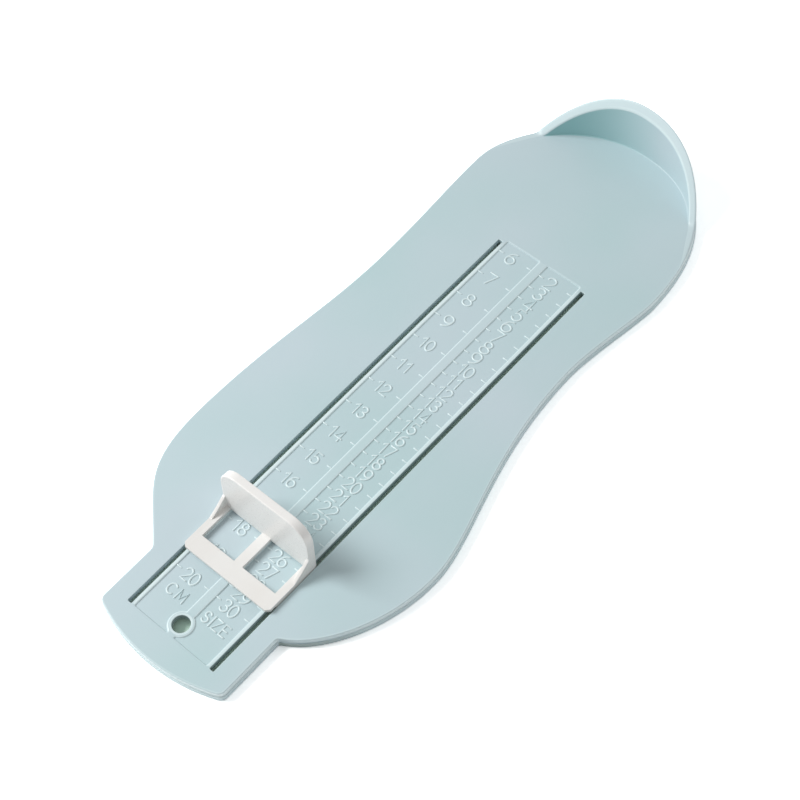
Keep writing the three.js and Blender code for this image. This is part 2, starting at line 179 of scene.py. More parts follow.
@dataclass(frozen=True)
class MouldedPlastic:
    """A thermoplastic as it leaves the mould, with the mould's fine spark-eroded grain.

    The grain is far finer than a pixel, so the eye reads it as a satin gloss. The melt's flow
    leaves patches a few centimetres wide that differ by a shade or two. Rounded edges, raised
    figures and a few faces carry painted highlight: the meshes mark them with the attribute
    "pale", which mixes in a paler colour and makes them glossier. Where it is negative it is
    painted shade, as on the cuts' walls and the skirt by the neck, mixing in a darker colour.
    Where the attribute "hollow" is set, it is painted shade on the heel cup's inner wall on
    the side turned from the key lamp, mixing in a deeper blue-green.
    """

    name: str
    colour: str
    shade: str
    # The next three colours are painted light: a paler one for painted highlight, and two darker
    # ones for painted shade, the last on the heel cup's inner wall.
    edge: str
    deep: str
    hollow: str
    edge_gloss: float
    roughness: float
    roughness_spread: float
    grain_mm: float
    grain_depth_mm: float
    patch_mm: float
    ior: float
    subsurface: float
    subsurface_mm: float
    patch_range: tuple[float, float] = (0.35, 0.65)
    grain_range: tuple[float, float] = (0.3, 0.7)
    bump_strength: float = 0.35

    def material(self) -> bpy.types.Material:
        """Builds the material.

        Returns:
            A new material that reads Object coordinates alone.
        """
        material = bpy.data.materials.new(self.name)
        material.use_nodes = True
        tree = material.node_tree
        tree.nodes.clear()
        place = add_node(tree, "ShaderNodeTexCoord").outputs["Object"]
        patches = add_node(
            tree, "ShaderNodeTexNoise",
            {"Scale": 1 / (self.patch_mm * MM), "Detail": 2.0, "Roughness": 0.45},
            {"Vector": place})
        spread = add_node(
            tree, "ShaderNodeMapRange",
            {"From Min": self.patch_range[0], "From Max": self.patch_range[1]},
            {"Value": patches.outputs["Fac"]})
        pale, cup_shade_share = (
            add_node(
                tree, "ShaderNodeAttribute",
                {"attribute_type": "GEOMETRY", "attribute_name": mark}).outputs["Fac"]
            for mark in (PAINTED_LIGHT, CUP_SHADE))
        painted_shade_share = add_node(
            tree, "ShaderNodeMath", {"operation": "MULTIPLY", "use_clamp": True, 1: -1.0},
            {0: pale})
        tint = add_node(
            tree, "ShaderNodeMix",
            {"data_type": "RGBA", MIX_FROM: linear_colour(self.colour),
             MIX_TO: linear_colour(self.shade)},
            {MIX_FACTOR: spread.outputs["Result"]})
        # Painted light: the cup's attribute mixes in painted shade on the heel cup's inner wall,
        # negative paleness mixes in painted shade, and positive paleness mixes in the paler colour
        # as painted highlight.
        for colour, share in (
                (self.hollow, cup_shade_share), (self.deep, painted_shade_share.outputs[0]), (self.edge, pale)):
            tint = add_node(
                tree, "ShaderNodeMix", {"data_type": "RGBA", MIX_TO: linear_colour(colour)},
                {MIX_FACTOR: share, MIX_FROM: tint.outputs[MIX_RESULT]})
        grain = add_node(
            tree, "ShaderNodeTexNoise",
            {"Scale": 1 / (self.grain_mm * MM), "Detail": 3.0, "Roughness": 0.6},
            {"Vector": place})
        gloss = add_node(
            tree, "ShaderNodeMapRange",
            {"From Min": self.grain_range[0], "From Max": self.grain_range[1],
             "To Min": self.roughness - self.roughness_spread,
             "To Max": self.roughness + self.roughness_spread},
            {"Value": grain.outputs["Fac"]})
        polish = add_node(
            tree, "ShaderNodeMath", {"operation": "MULTIPLY", 1: self.edge_gloss}, {0: pale})
        finish = add_node(
            tree, "ShaderNodeMath", {"operation": "SUBTRACT"},
            {0: gloss.outputs["Result"], 1: polish.outputs[0]})
        bump = add_node(
            tree, "ShaderNodeBump",
            {"Strength": self.bump_strength, "Distance": self.grain_depth_mm * MM},
            {"Height": grain.outputs["Fac"]})
        shader = add_node(
            tree, "ShaderNodeBsdfPrincipled",
            {"IOR": self.ior,
             "Subsurface Weight": self.subsurface,
             "Subsurface Scale": self.subsurface_mm * MM,
             "Subsurface Radius": (1.0, 1.0, 1.0)},
            {"Base Color": tint.outputs[MIX_RESULT],
             "Roughness": finish.outputs[0],
             "Normal": bump.outputs["Normal"]})
        add_node(
            tree, "ShaderNodeOutputMaterial", None, {"Surface": shader.outputs["BSDF"]})
        return material


# Polypropylene, injection-moulded and coloured in the melt: an even pale blue-green with a
# satin gloss, very slightly cloudy.
BOARD_PLASTIC = MouldedPlastic(
    name="polypropylene_moulded_pale_blue_green",
    # The paler colour after the shade is painted highlight; the two darker ones are painted shade,
    # the last on the heel cup's inner wall.
    colour="c3d4da", shade="bad2d5", edge="e0f0f2", deep="72847f",
    hollow="9ccbcd", edge_gloss=0.12,
    roughness=0.4, roughness_spread=0.05,
    grain_mm=0.35, grain_depth_mm=0.012, patch_mm=55.0,
    ior=1.49, subsurface=0.05, subsurface_mm=0.8)

# ABS, injection-moulded and left near its natural colour: a warm off-white that lets a little
# light in, so its shadows stay soft. Its toe wall is made paler with painted light.
SLIDER_PLASTIC = MouldedPlastic(
    name="abs_moulded_off_white",
    # The paler colour after the shade is the painted highlight on the toe wall.
    colour="ebeae7", shade="e8e6e2", edge="f4f3f1", deep="d2cfc9",
    hollow="e0ded8", edge_gloss=0.1,
    roughness=0.36, roughness_spread=0.05,
    grain_mm=0.3, grain_depth_mm=0.01, patch_mm=14.0,
    ior=1.54, subsurface=0.1, subsurface_mm=1.2)


def arc(
    centre: tuple[float, float],
    radii: tuple[float, float],
    start: float,
    end: float,
    steps: int,
) -> Loop:
    """Samples an elliptical arc.

    Args:
        centre: The arc's centre.
        radii: Its half-widths along x and y.
        start: The angle of its first point, in degrees.
        end: The angle of its last point, in degrees.
        steps: How many straight steps it takes.

    Returns:
        steps + 1 flat points.
    """
    angles = [math.radians(start + (end - start) * i / steps) for i in range(steps + 1)]
    return [
        Vector((centre[0] + radii[0] * math.cos(a), centre[1] + radii[1] * math.sin(a)))
        for a in angles]


def quarter_turn(steps: int) -> list[float]:
    """Lists the angles of a quarter turn in even steps, in radians."""
    return [math.radians(90 * i / steps) for i in range(steps + 1)]


def smooth_curve(handles: Sequence[tuple[float, float]], spacing: float) -> Loop:
    """Samples the smooth curve that control points pull into shape, without its last point.

    Args:
        handles: Three or four control points. The curve starts at the first and ends at the last.
        spacing: The wanted distance between samples.

    Returns:
        Flat points from the first control point up to, but not at, the last.
    """
    def at(t: float) -> Vector:
        """Finds one point of the curve, by blending neighbouring points until one is left.

        Args:
            t: How far along the curve it lies, from 0 to 1.

        Returns:
            The flat point.
        """
        layer = [Vector(h) for h in handles]
        while len(layer) > 1:
            layer = [a.lerp(b, t) for a, b in zip(layer, layer[1:])]
        return layer[0]

    rough = [at(i / MEASURE_STEPS) for i in range(MEASURE_STEPS + 1)]
    length = sum((b - a).length for a, b in zip(rough, rough[1:]))
    steps = max(FEWEST_STEPS, round(length / spacing))
    return [at(i / steps) for i in range(steps)]


def offset_loop(points: Loop, distance: float) -> Loop:
    """Moves a counter-clockwise loop outwards, or inwards by a negative distance.

    Args:
        points: The loop's flat points.
        distance: How far each edge moves.

    Returns:
        The moved loop, point for point.
    """
    return [point + push * distance for point, push in zip(points, pushes(points))]


def pushes(points: Loop) -> Loop:
    """Finds where each point of a counter-clockwise loop goes when its edges move out by one.

    Args:
        points: The loop's flat points.

    Returns:
        One vector for each point.
    """
    count = len(points)
    result = []
    for i, point in enumerate(points):
        before = (point - points[i - 1]).normalized()
        after = (points[(i + 1) % count] - point).normalized()
        normals = [Vector((edge.y, -edge.x)) for edge in (before, after)]
        middle = (normals[0] + normals[1]).normalized()
        result.append(middle / middle.dot(normals[1]))
    return result


def rounded_box_loop(
    x_range: tuple[float, float], y_range: tuple[float, float], corner: float
) -> Loop:
    """Makes a counter-clockwise rectangle with rounded corners.

    Args:
        x_range: Its low and high x.
        y_range: Its low and high y.
        corner: The corners' radius.

    Returns:
        The loop's flat points.
    """
    (x0, x1), (y0, y1) = x_range, y_range
    corners = ((x1, y0, -90), (x1, y1, 0), (x0, y1, 90), (x0, y0, 180))
    points: Loop = []
    for x, y, start in corners:
        centre = (x - math.copysign(corner, x - (x0 + x1) / 2),
                  y - math.copysign(corner, y - (y0 + y1) / 2))
        points += arc(centre, (corner, corner), start, start + 90, ROUND_STEPS)
    return points


def refine(points: Loop, spacing: float) -> Loop:
    """Adds points along a loop's long straight edges.

    Args:
        points: The loop's flat points.
        spacing: The longest edge that may stay.

    Returns:
        The same loop with its long edges divided evenly.
    """
    result: Loop = []
    for i, end in enumerate(points):
        start = points[i - 1]
        steps = max(1, math.ceil((end - start).length / spacing))
        result += [start.lerp(end, j / steps) for j in range(1, steps + 1)]
    return result


class RingStack:
    """Closed rings of equal count, each one extruded from the one before."""

    def __init__(
        self, mesh: bmesh.types.BMesh, points: Sequence[Vector], pale: float = 0.0
    ) -> None:
        """Starts a stack with its first ring.

        Args:
            mesh: The mesh that gets the rings.
            points: The first ring, in order.
            pale: The painted light there: painted highlight from 0 to 1, painted shade below 0.
        """
        self.mesh = mesh
        self.verts = [mesh.verts.new(point) for point in points]
        self.mark(pale)
        self.edges = [
            mesh.edges.new((vert, self.verts[i - 1])) for i, vert in enumerate(self.verts)]

    def mark(self, pale: float) -> None:
        """Marks the last ring.

        Args:
            pale: The painted light there: painted highlight from 0 to 1, painted shade below 0.
        """
        layer = self.mesh.verts.layers.float[PAINTED_LIGHT]
        for vert in self.verts:
            vert[layer] = pale

    def add(self, points: Sequence[Vector], pale: float = 0.0) -> None:
        """Extrudes the last ring and moves the new one to its points.

        Args:
            points: The new ring, in the same order as the first.
            pale: The painted light there: painted highlight from 0 to 1, painted shade below 0.
        """
        moved = dict(zip(self.verts, points))
        grown = bmesh.ops.extrude_edge_only(self.mesh, edges=self.edges)["geom"]
        fresh = {item for item in grown if isinstance(item, bmesh.types.BMVert)}
        partner = {}
        for vert in fresh:
            for edge in vert.link_edges:
                other = edge.other_vert(vert)
                if other not in fresh:
                    partner[other] = vert
        for old, point in moved.items():
            partner[old].co = point
        self.verts = [partner[vert] for vert in self.verts]
        self.edges = [
            item for item in grown
            if isinstance(item, bmesh.types.BMEdge) and all(v in fresh for v in item.verts)]
        self.mark(pale)

    def add_all(self, rings: Iterable[tuple[Sequence[Vector], float]]) -> None:
        """Adds one ring after another, each with its paleness."""
        for ring, pale in rings:
            self.add(ring, pale)


def new_mesh() -> bmesh.types.BMesh:
    """Starts an empty mesh that can carry painted highlight and painted shade.

    Returns:
        The mesh, with both marks' layers.
    """
    mesh = bmesh.new()
    mesh.verts.layers.float.new(PAINTED_LIGHT)
    mesh.verts.layers.float.new(CUP_SHADE)
    return mesh


def raised(points: Loop, height: float) -> list[Vector]:
    """Lifts flat points to a height."""
    return [Vector((point.x, point.y, height)) for point in points]


def fill_flat(mesh: bmesh.types.BMesh, edges: list[bmesh.types.BMEdge]) -> None:
    """Fills the level region between an outer ring and the rings inside it.

    Args:
        mesh: The mesh that gets the faces.
        edges: The edges of every ring.
    """
    bmesh.ops.triangle_fill(
        mesh, use_beauty=True, use_dissolve=False, edges=edges, normal=(0.0, 0.0, 1.0))


def finish_piece(
    name: str,
    mesh: bmesh.types.BMesh,
    material: bpy.types.Material,
    body: Body,
    sharp_degrees: float = 40.0,
) -> bpy.types.Object:
    """Turns a mesh in gauge millimetres into a finished piece that rides on its body.

    Args:
        name: The piece's name.
        mesh: The closed mesh, which is freed.
        material: The piece's material.
        body: The body that it rides on.
        sharp_degrees: The angle above which an edge is shaded sharp.

    Returns:
        The new object, at the origin, with its place in its mesh.
    """
    bmesh.ops.remove_doubles(mesh, verts=mesh.verts[:], dist=1e-5)
    bmesh.ops.recalc_face_normals(mesh, faces=mesh.faces[:])
    bmesh.ops.transform(mesh, matrix=GaugeAxes().to_row(), verts=mesh.verts[:])
    data = bpy.data.meshes.new(name)
    mesh.to_mesh(data)
    mesh.free()
    data.polygons.foreach_set("use_smooth", [True] * len(data.polygons))
    data.set_sharp_from_angle(angle=math.radians(sharp_degrees))
    piece = place_object(name, data)
    data.materials.append(material)
    # Large flat faces keep their own normal, so the small rounds beside them don't shade them.
    weighted = piece.modifiers.new("flat_faces_lead", "WEIGHTED_NORMAL")
    weighted.keep_sharp = True
    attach(piece, body.value)
    LOG.info("%s: %d faces", name, len(data.polygons))
    return piece


@dataclass(frozen=True)
class SoleSide:
    """One long side of the sole, by the three places where its edge runs straight along y.

    The pulls are the lengths of the curves' handles along the edge, from the heel to the neck.
    """

    heel_round: float
    heel: tuple[float, float]
    waist: tuple[float, float]
    ball: tuple[float, float]
    neck_y: float
    neck_angle: float
    pulls: tuple[float, ...]


OUTER_SIDE = SoleSide(
    heel_round=21.3, heel=(43.1, 36.3), waist=(41.1, 86.1), ball=(45.7, 156.4),
    neck_y=200.7, neck_angle=44.7, pulls=(17.2, 15.0, 20.5, 24.0, 29.3, 27.6, 21.5))
ARCH_SIDE = SoleSide(
    heel_round=29.3, heel=(34.7, 47.1), waist=(30.5, 81.5), ball=(44.2, 157.0),
    neck_y=198.6, neck_angle=27.5, pulls=(25.3, 5.3, 9.2, 37.2, 16.5, 18.9, 12.2))


@dataclass(frozen=True)
class SoleOutline:
    """The line round the upper part of the board, with its handle."""

    heel: tuple[float, float] = (3.8, 0.9)
    outer: SoleSide = OUTER_SIDE
    arch: SoleSide = ARCH_SIDE
    handle_half_width: float = 23.3
    handle_end: tuple[float, float] = (1.1, 225.4)
    handle_end_radius: float = 59.5
    handle_corner: float = 1.6
    neck_fillet: float = 1.0
    spacing: float = 1.5

    def side_curves(self, side: Side) -> list[list[tuple[float, float]]]:
        """Gives one side's curves from the heel to the neck.

        Args:
            side: Which long side.

        Returns:
            Four cubic curves and the neck's quadratic fillet, as control points.
        """
        s = side.value
        line = self.outer if side is Side.OUTER else self.arch
        angle = math.radians(line.neck_angle)
        reach, fillet = self.handle_half_width, self.neck_fillet

        def off_neck(distance: float) -> tuple[float, float]:
            """Finds a point back along the sole's edge from the neck's corner."""
            return (s * (reach + distance * math.cos(angle)),
                    line.neck_y - distance * math.sin(angle))

        curves = []
        start, leaving = self.heel, (self.heel[0] + s * line.heel_round, self.heel[1])
        for (x, y), pull_in, pull_out in zip(
                (line.heel, line.waist, line.ball), line.pulls[0::2], line.pulls[1::2]):
            curves.append([start, leaving, (s * x, y - pull_in), (s * x, y)])
            start, leaving = (s * x, y), (s * x, y + pull_out)
        curves.append([start, leaving, off_neck(line.pulls[-1]), off_neck(fillet)])
        curves.append(
            [off_neck(fillet), (s * reach, line.neck_y), (s * reach, line.neck_y + fillet)])
        return curves

    def end_y(self, x: float) -> float:
        """Finds how far out the handle's end arc lies.

        Args:
            x: The place across the handle.

        Returns:
            The arc's y there.
        """
        centre_y = self.handle_end[1] - self.handle_end_radius
        return centre_y + math.sqrt(
            self.handle_end_radius ** 2 - (x - self.handle_end[0]) ** 2)

    def corner_curve(self, side: Side) -> list[tuple[float, float]]:
        """Gives the handle's corner on one side.

        Args:
            side: Which long side.

        Returns:
            A quadratic curve from the straight edge to the end arc, as control points.
        """
        x = side.value * self.handle_half_width
        inner = side.value * (self.handle_half_width - self.handle_corner)
        return [(x, self.end_y(x) - self.handle_corner), (x, self.end_y(x)),
                (inner, self.end_y(inner))]

    def points(self) -> Loop:
        """Samples the whole outline.

        Returns:
            Flat points, counter-clockwise from the heel, outer side first.
        """
        result: Loop = []
        for curve in self.side_curves(Side.OUTER):
            result += smooth_curve(curve, self.spacing)
        outer_corner = self.corner_curve(Side.OUTER)
        arch_corner = self.corner_curve(Side.ARCH)
        fillet_end = (self.handle_half_width, self.outer.neck_y + self.neck_fillet)
        result += smooth_curve([fillet_end, fillet_end, outer_corner[0]], self.spacing)
        result += smooth_curve(outer_corner, self.spacing)
        width = outer_corner[2][0] - arch_corner[2][0]
        steps = round(width / self.spacing)
        for i in range(steps):
            x = outer_corner[2][0] - width * i / steps
            result.append(Vector((x, self.end_y(x))))
        result += smooth_curve(arch_corner[::-1], self.spacing)
        fillet_end = (-self.handle_half_width, self.arch.neck_y + self.neck_fillet)
        result += smooth_curve([arch_corner[0], arch_corner[0], fillet_end], self.spacing)
        for curve in reversed(self.side_curves(Side.ARCH)):
            result += smooth_curve(curve[::-1], self.spacing)
        return result


@dataclass
class SoleBoard:
    """The board: skirt, plate, heel cup, sunk scale panel, slots and hanging hole."""

    # The plate, and the longest edge that its cuts are drawn with.
    outline: SoleOutline = SoleOutline()
    height: float = 4.0
    plate: float = 2.0
    step: float = 4.0

    # The skirt, with its ledge at the top of the lower band.
    skirt_wall: float = 1.8
    lower_band: float = 2.2
    ledge: float = 0.25
    ledge_round: float = 0.12
    ledge_foot: tuple[float, float] = (0.02, 0.05)
    rim_band: float = 1.0
    edge_round: float = 0.3
    foot_round: float = 0.2

    # The room for moving the outline inwards: over how many neighbours on each side it is
    # judged, how much of it is used, and what stands for no limit.
    room_span: int = 4
    room_share: float = 0.9
    open_room: float = 1e3

    # The heel cup. Its thick edge and its wall fade into the plate's thin edge over cup_blend_y.
    cup_tip_y: float = 16.3
    cup_rise: float = 20.4
    cup_fade: float = 0.2
    cup_wall: float = 2.2
    cup_outer_round: float = 0.8
    cup_inner_round: float = 0.5
    cup_fillet: float = 0.38
    cup_blend_y: tuple[float, float] = (32.0, 20.0)
    rim_closed: float = 0.12
    tone_band: float = 0.3

    # Painted light at each place: positive values are painted highlight, mixing in the paler colour,
    # and negative values are painted shade, mixing in the darker one.
    ledge_pale: float = 0.3
    skirt_pale: float = 0.75
    edge_pales: tuple[float, ...] = (0.5, 0.3, 0.2, 0.2, 0.25, 0.3)
    rim_pale: float = 0.3
    # Painted shade on the arch side's skirt, strongest towards the neck.
    neck_shade: float = -0.8
    neck_shade_y: tuple[float, float] = (180.0, 196.0)
    neck_shade_top: float = 3.8
    # The heel cup's inner wall bears this sentinel until it gets painted shade, strongest towards
    # the outer side; its lip gets extra painted highlight.
    cup_mark: float = -0.9
    cup_hollow_x: tuple[float, float] = (-5.0, 25.0)
    cup_pale: float = 0.22
    cup_pale_rise: float = 1.2
    # The cuts' round edges get painted highlight and their walls painted shade; the ring round the
    # hole, the strips and the middle bar get painted highlight.
    cut_pales: tuple[float, ...] = (0.0, 0.7, 0.85, 0.75)
    cut_shades: tuple[float, float, float] = (-0.1, -0.5, -0.5)
    ring_glow: float = 0.6
    strip_glows: tuple[float, float] = (0.9, 0.65)
    strip_depth: float = 0.2
    bar_glow: float = 0.15
    end_glow: float = 0.15
    end_band: tuple[float, float] = (-0.2, 1.0)

    # The sunk panel with its middle bar, and the ring round the hanging hole.
    panel_half_width: float = 14.1
    panel_y: tuple[float, float] = (56.0, 216.5)
    panel_depth: float = 0.4
    panel_round: float = 0.3
    panel_slope: float = 0.45
    panel_corner: float = 0.4
    panel_tip: float = 0.3
    # Painted highlight on the pocket's wall, and on its foot rings by their last number.
    panel_wall_pale: float = 0.6
    panel_foot: tuple[tuple[float, float, float], ...] = (
        (0.03, 0.05, 0.5), (0.08, 0.015, 0.3), (0.16, 0.0, 0.0))
    bar_half_width: float = 1.55
    hole_y: float = 212.3
    hole_radius: float = 2.7
    hole_steps: int = 56
    ring_steps: int = 20
    tip_steps: int = 8
    boss_wall: float = 1.25
    ring_edge: tuple[float, float] = (0.75, 0.6)

    # The two through slots.
    slot_outer_x: float = 16.85
    slot_width: float = 1.55
    slot_y: tuple[float, float] = (57.0, 216.7)
    slot_corner: float = 0.3
    slot_round: float = 0.14
    strip_end: float = 0.5
    cut_top: float = 0.3
    cut_foot: float = 0.1

    def lip_above(self, y: float) -> float:
        """Finds how far the heel cup's lip stands above the plate at a place along the sole.

        Args:
            y: The place, in gauge millimetres.

        Returns:
            The height, which fades smoothly to nothing past the cup's tips.
        """
        slope = self.cup_rise / (self.cup_tip_y - self.outline.heel[1])
        inside = self.cup_tip_y - y
        return slope * 0.5 * (inside + math.hypot(inside, self.cup_fade))

    def room(self, points: Loop) -> list[float]:
        """Finds how far each outline point can move inwards before its neighbours cross.

        Args:
            points: The outline.

        Returns:
            One distance for each point.
        """
        count = len(points)
        tight = []
        for i in range(count):
            before = points[i] - points[i - 1]
            after = points[(i + 1) % count] - points[i]
            turn = -before.angle_signed(after)
            reach = (before.length + after.length) / 2
            tight.append(min(self.open_room, reach / turn) if turn > 0.0 else self.open_room)
        span = range(-self.room_span, self.room_span + 1)
        return [
            min(tight[(i + j) % count] for j in span) * self.room_share for i in range(count)]

    def rim_rings(self) -> list[tuple[list[Vector], float]]:
        """Works out the rings of the rim, from under the plate, round the edge, to its top.

        Returns:
            Rings of one length, ready for a RingStack, each with its painted light.
        """
        base = self.outline.points()
        push = pushes(base)
        room = self.room(base)
        top, edge, ri = self.height, self.edge_round, self.cup_inner_round
        wall, fillet = self.cup_wall, self.cup_fillet
        # Away from the cup nothing stands behind the round edge, so the rings close up there.
        far_y, near_y = self.cup_blend_y
        near = [eased(share_between(point.y, far_y, near_y)) for point in base]
        share = [self.rim_closed + (1 - self.rim_closed) * part for part in near]
        rounds = [edge + (self.cup_outer_round - edge) * part for part in near]

        def rolled(turn: float) -> list[Vector]:
            """Makes one ring on the outer round.

            Args:
                turn: How far the round has turned there, in radians.

            Returns:
                The ring's points.
            """
            result = []
            for point, out, most, radius in zip(base, push, room, rounds):
                place = point - out * min(radius * (1 - math.cos(turn)), most)
                lift = self.lip_above(place.y) - radius * (1 - math.sin(turn))
                result.append(Vector((place.x, place.y, top + lift)))
            return result

        def ring(inward: float, height: Callable[[float], float]) -> list[Vector]:
            """Makes one ring inside the outer round.

            Args:
                inward: Its distance inside the outline, where the cup stands.
                height: Gives its height from the lip's height above the plate.

            Returns:
                The ring's points.
            """
            result = []
            for point, out, radius, part in zip(base, push, rounds, share):
                place = point - out * (radius + max(0.0, inward - radius) * part)
                result.append(Vector((place.x, place.y, height(self.lip_above(place.y)))))
            return result

        def level(inward: float, z: float) -> list[Vector]:
            """Makes one level ring, kept out of tight corners.

            Args:
                inward: Its distance inside the outline.
                z: Its height.

            Returns:
                The ring's points.
            """
            return [
                Vector((*(point - out * min(inward, most)), z))
                for point, out, most in zip(base, push, room)]

        foot, ledge, band = self.foot_round, self.ledge, self.lower_band
        bend, (foot_out, foot_up) = self.ledge_round, self.ledge_foot
        # The skirt's ledge and upper band, the round edge and the lip's inner round carry painted
        # highlight.
        rings = [(level(inward, z), pale) for inward, z, pale in (
            (self.skirt_wall, top - self.plate, 0.0),
            (self.skirt_wall, foot, 0.0),
            (self.skirt_wall - foot, 0.0, 0.0),
            (foot - ledge, 0.0, 0.0),
            (-ledge, foot, 0.0),
            (-ledge, band - bend, 0.0),
            (bend / 3 - ledge, band - bend / 4, self.ledge_pale),
            (bend - ledge, band, self.skirt_pale),
            (-foot_out, band, self.skirt_pale),
            (0.0, band + foot_up, self.skirt_pale),
            (0.0, top - self.rim_band, self.skirt_pale))]
        tones = (self.skirt_pale, *self.edge_pales)
        for i, tone in enumerate(tones):
            rings.append((rolled(math.radians(90 * i / (len(tones) - 1))), tone))
        for angle in quarter_turn(ROUND_STEPS):
            drop = ri * (1 - math.cos(angle))
            rings.append((
                ring(wall - ri * (1 - math.sin(angle)),
                     lambda lip, drop=drop: top + max(0.0, lip - drop)),
                self.rim_pale * (1 + math.sin(2 * angle))))
        # Just under the lip's round the painted highlight ends, so the cup's wall starts at full
        # tone.
        gap = self.tone_band
        rings.append((
            ring(wall, lambda lip: top + max(0.0, min(fillet, lip - ri), lip - ri - gap)),
            self.cup_mark))
        for angle in quarter_turn(FILLET_STEPS):
            rise = 1 - math.sin(angle)
            rings.append((
                ring(wall + fillet * (1 - math.cos(angle)),
                     lambda lip, rise=rise: top + min(fillet, max(0.0, lip - ri)) * rise),
                self.cup_mark))
        rings.append((ring(wall + fillet + gap, lambda lip: top), 0.0))
        return rings

    def pocket_loop(self, side: Side) -> Loop:
        """Outlines one half of the sunk panel, beside the middle bar and the ring.

        Args:
            side: Which half.

        Returns:
            A counter-clockwise loop at the foot of the pocket's walls.
        """
        radius = self.hole_radius + self.boss_wall
        (y0, y1), bar, side_x = self.panel_y, self.bar_half_width, self.panel_half_width
        bar_angle = -math.degrees(math.acos(bar / radius))
        # Where the ring nears the panel's end, the pocket closes in a small round tip.
        corner, tip = self.panel_corner, self.panel_tip
        rise = y1 - tip - self.hole_y
        run = math.sqrt((radius + tip) ** 2 - rise ** 2)
        end_angle = math.degrees(math.atan2(rise, run))
        loop: Loop = []
        for x, y, start in (
                (bar + corner, y0 + corner, 180),
                (side_x - corner, y0 + corner, 270),
                (side_x - corner, y1 - corner, 0)):
            loop += arc((x, y), (corner, corner), start, start + 90, ROUND_STEPS)
        loop += arc((run, y1 - tip), (tip, tip), 90, 180 + end_angle, self.tip_steps)[:-1]
        loop += arc(
            (0.0, self.hole_y), (radius, radius), end_angle, bar_angle, self.ring_steps)
        if side is Side.ARCH:
            loop = [Vector((-point.x, point.y)) for point in reversed(loop)]
        return refine(loop, self.step)

    def cut_edge(
        self, loop: Loop, depth: float, reach: float, wall: float
    ) -> list[tuple[list[Vector], float]]:
        """Rounds the top edge of a cut, from the plate's top down to its wall.

        Args:
            loop: The cut's wall, counter-clockwise.
            depth: How far down the round goes.
            reach: How far it reaches outwards over the plate's top.
            wall: The painted highlight where the round meets the wall.

        Returns:
            Rings from the top down, each with its painted light.
        """
        return [
            (raised(offset_loop(loop, reach * (1 - math.sin(angle))),
                    self.height - depth * (1 - math.cos(angle))), tone)
            for angle, tone in zip(quarter_turn(ROUND_STEPS), (*self.cut_pales, wall))]

    def mark_cup(self, mesh: bmesh.types.BMesh) -> None:
        """Paints light on the heel cup: painted highlight on its lip up to its tips, and painted
        shade on its inner wall, strongest towards the outer side.

        Args:
            mesh: The board, whose cup wall still bears cup_mark.
        """
        pale = mesh.verts.layers.float[PAINTED_LIGHT]
        hollow = mesh.verts.layers.float[CUP_SHADE]
        for vert in mesh.verts:
            x, _, z = vert.co
            if vert[pale] < self.cup_mark + NEAR:
                vert[pale] = 0.0
                if z > self.height + NEAR:
                    vert[hollow] = share_between(x, *self.cup_hollow_x)
            elif z > self.height - self.edge_round / 2 and vert[pale] > 0.0:
                share = share_between(z, self.height, self.height + self.cup_pale_rise)
                lip = vert[pale] + self.cup_pale
                vert[pale] = lip * share + min(vert[pale], self.rim_pale) * (1 - share)

    def mark_neck(self, mesh: bmesh.types.BMesh) -> None:
        """Paints shade on the arch side's skirt wall, darker towards the neck.

        Args:
            mesh: The board.
        """
        layer = mesh.verts.layers.float[PAINTED_LIGHT]
        handle = self.outline.handle_half_width + 2 * self.ledge
        for vert in mesh.verts:
            x, y, z = vert.co
            if x < -handle and NEAR < z < self.neck_shade_top:
                vert[layer] += self.neck_shade * share_between(y, *self.neck_shade_y)

    def mark_strips(self, mesh: bmesh.types.BMesh) -> None:
        """Paints highlight on the strips between slots and panel and on the middle bar, and caps the
        painted highlight at the panel's ends.

        Args:
            mesh: The board, with its cuts.
        """
        layer = mesh.verts.layers.float[PAINTED_LIGHT]
        inner = self.panel_half_width + NEAR
        outer = self.slot_outer_x - self.slot_width + NEAR
        low, high = self.slot_y[0] + self.strip_end, self.slot_y[1] - self.strip_end
        bar_end = self.hole_y - self.hole_radius - self.boss_wall
        for vert in mesh.verts:
            x, y, z = vert.co
            past = max(self.panel_y[0] - y, y - self.panel_y[1])
            if z > self.height - self.strip_depth and inner < abs(x) < outer and low < y < high:
                vert[layer] = self.strip_glows[0 if x > 0.0 else 1]
            elif (z > self.height - NEAR and abs(x) < self.bar_half_width
                  and self.panel_y[0] < y < bar_end):
                vert[layer] = max(vert[layer], self.bar_glow)
            elif abs(x) < inner and self.end_band[0] < past < self.end_band[1]:
                vert[layer] = min(vert[layer], self.end_glow)

    def build(self, material: bpy.types.Material) -> bpy.types.Object:
        """Builds the board as one closed mesh.

        Args:
            material: The board's plastic.

        Returns:
            The finished piece.
        """
        mesh = new_mesh()
        ceiling = self.height - self.plate
        rim = self.rim_rings()
        stack = RingStack(mesh, *rim[0])
        under = list(stack.edges)
        stack.add_all(rim[1:])
        over = list(stack.edges)
        self.mark_cup(mesh)
        self.mark_neck(mesh)

        slots = [
            refine(rounded_box_loop(
                tuple(sorted((side.value * self.slot_outer_x,
                              side.value * (self.slot_outer_x - self.slot_width)))),
                self.slot_y, self.slot_corner), self.step)
            for side in Side]
        hole = arc((0.0, self.hole_y), (self.hole_radius,) * 2, 0, 360, self.hole_steps)[:-1]
        for loop, shade in zip((*slots, hole), self.cut_shades):
            rings = self.cut_edge(loop, self.slot_round, self.slot_round, 0.0)
            if loop is hole:
                # The ring round the hole carries painted highlight up to a line just inside its own
                # edge.
                rings[0] = (rings[0][0], self.ring_glow)
                rings = [(raised(offset_loop(loop, out), self.height), pale)
                         for out, pale in zip(self.ring_edge, (0.0, self.ring_glow))] + rings
            cut = RingStack(mesh, *rings[0])
            over += cut.edges
            cut.add_all(rings[1:])
